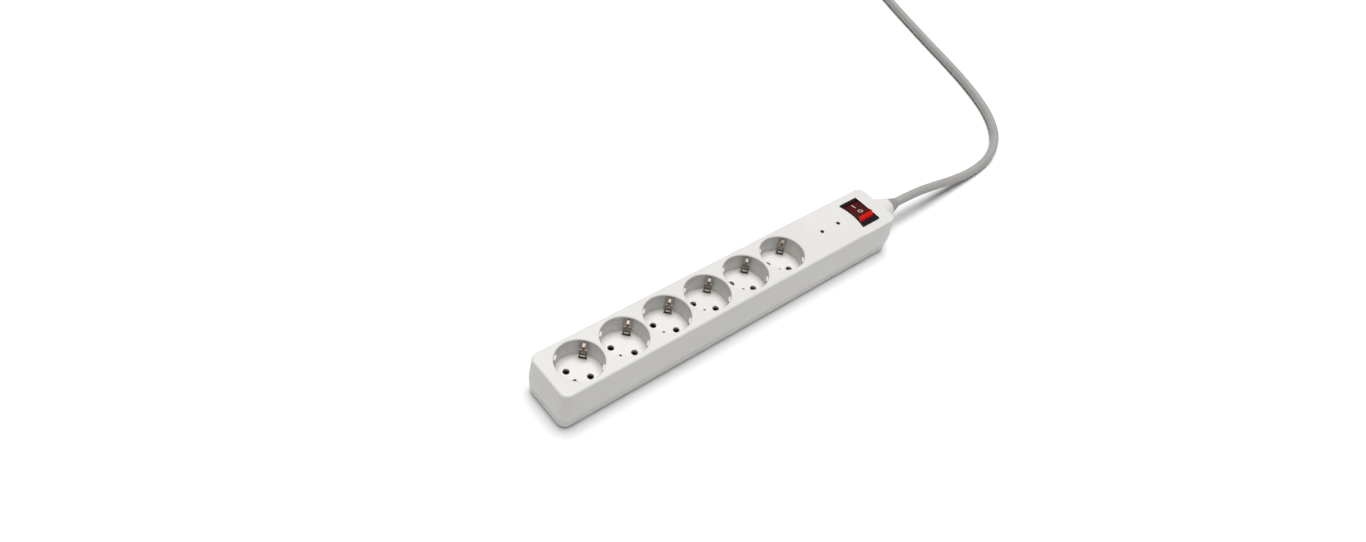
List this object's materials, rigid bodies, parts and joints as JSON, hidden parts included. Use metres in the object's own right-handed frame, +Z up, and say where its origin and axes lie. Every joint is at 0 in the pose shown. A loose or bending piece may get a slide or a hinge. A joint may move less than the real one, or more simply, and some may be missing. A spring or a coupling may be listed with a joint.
{
  "type": "power strip",
  "caption": "Long white strip of round earthed mains sockets with a lit rocker switch, indicator lamps and a mains lead with its plug.",
  "frame": {"origin": "middle of the strip's box, without its free cord, on the surface that it stands on", "axes": "+X along the strip towards the switch and the cord, +Y across it, +Z up out of the sockets"},
  "size_m": [0.733, 0.4488, 0.0435],
  "materials": {
    "white_plastic": "satin moulded white",
    "grey_plastic": "satin warm grey",
    "cord_sheath": "soft satin sheath",
    "tie_plastic": "matt black strap",
    "brass": "stamped, slightly dull",
    "plated_metal": "nickel plate over brass",
    "screw_steel": "zinc plated",
    "black_plastic": "glossy black",
    "red_plastic": "glossy translucent red",
    "clear_glass": "clear",
    "smoke_lens": "dark smoked",
    "lamp_plastic": "tinted",
    "board_laminate": "phenolic laminate",
    "varistor_coating": "dipped epoxy",
    "resistor_body": "lacquered",
    "live_core": "brown insulation",
    "neutral_core": "blue insulation",
    "earth_core": "green and yellow insulation"
  },
  "bodies": {
    "housing": {"top_cover": "white_plastic", "base_cover": "white_plastic", "cord_clamp": "white_plastic", "plug_body": "white_plastic", "plug_relief": "white_plastic", "strain_relief": "grey_plastic", "cord": "cord_sheath", "cord_coil": "cord_sheath", "cord_plug_end": "cord_sheath", "cord_tail": "cord_sheath", "coil_tie": "tie_plastic", "live_bar": "brass", "neutral_bar": "brass", "live_common_blade": "brass", "neutral_common_blade": "brass", "live_switched_blade": "brass", "neutral_switched_blade": "brass", "earth_bar": "plated_metal", "plug_pins": "plated_metal", "plug_earth_contacts": "plated_metal", "earth_clip_1": "plated_metal", "earth_clip_2": "plated_metal", "earth_clip_3": "plated_metal", "earth_clip_4": "plated_metal", "earth_clip_5": "plated_metal", "earth_clip_6": "plated_metal", "housing_screws": "screw_steel", "clamp_screws": "screw_steel", "switch_case": "black_plastic", "switch_base": "black_plastic", "indicator_lens_1": "smoke_lens", "indicator_lens_2": "smoke_lens", "indicator_lamp_1": "lamp_plastic", "indicator_lamp_2": "lamp_plastic", "surge_board": "board_laminate", "varistor_1": "varistor_coating", "varistor_2": "varistor_coating", "varistor_3": "varistor_coating", "lamp_resistor_1": "resistor_body", "lamp_resistor_2": "resistor_body", "thermal_fuse": "resistor_body", "live_lead": "live_core", "live_link": "live_core", "neutral_lead": "neutral_core", "neutral_link": "neutral_core", "earth_lead": "earth_core"},
    "rocker": {"rocker": "red_plastic", "live_plunger": "brass", "live_plunger_spring": "screw_steel", "neutral_plunger": "brass", "neutral_plunger_spring": "screw_steel", "neon_lamp": "clear_glass", "neon_resistor": "resistor_body"},
    "live_lever": {"live_contact_lever": "brass"},
    "neutral_lever": {"neutral_contact_lever": "brass"}
  },
  "joints": [
    {"name": "rocker_hinge", "type": "hinge", "parent": "housing", "child": "rocker", "pos_m": [0.1436, 0.0012, 0.0356], "axis": [1, 0, 0], "range_deg": [0, 23]},
    {"name": "live_lever_hinge", "type": "hinge", "parent": "housing", "child": "live_lever", "pos_m": [0.1386, 0.0012, 0.0234], "axis": [1, 0, 0], "range_deg": [-10, 0]},
    {"name": "neutral_lever_hinge", "type": "hinge", "parent": "housing", "child": "neutral_lever", "pos_m": [0.1486, 0.0012, 0.0234], "axis": [1, 0, 0], "range_deg": [-10, 0]}
  ],
  "couplings": [
    {"joint": "live_lever_hinge", "follows": "rocker_hinge", "ratio": -0.43},
    {"joint": "neutral_lever_hinge", "follows": "rocker_hinge", "ratio": -0.43}
  ]
}
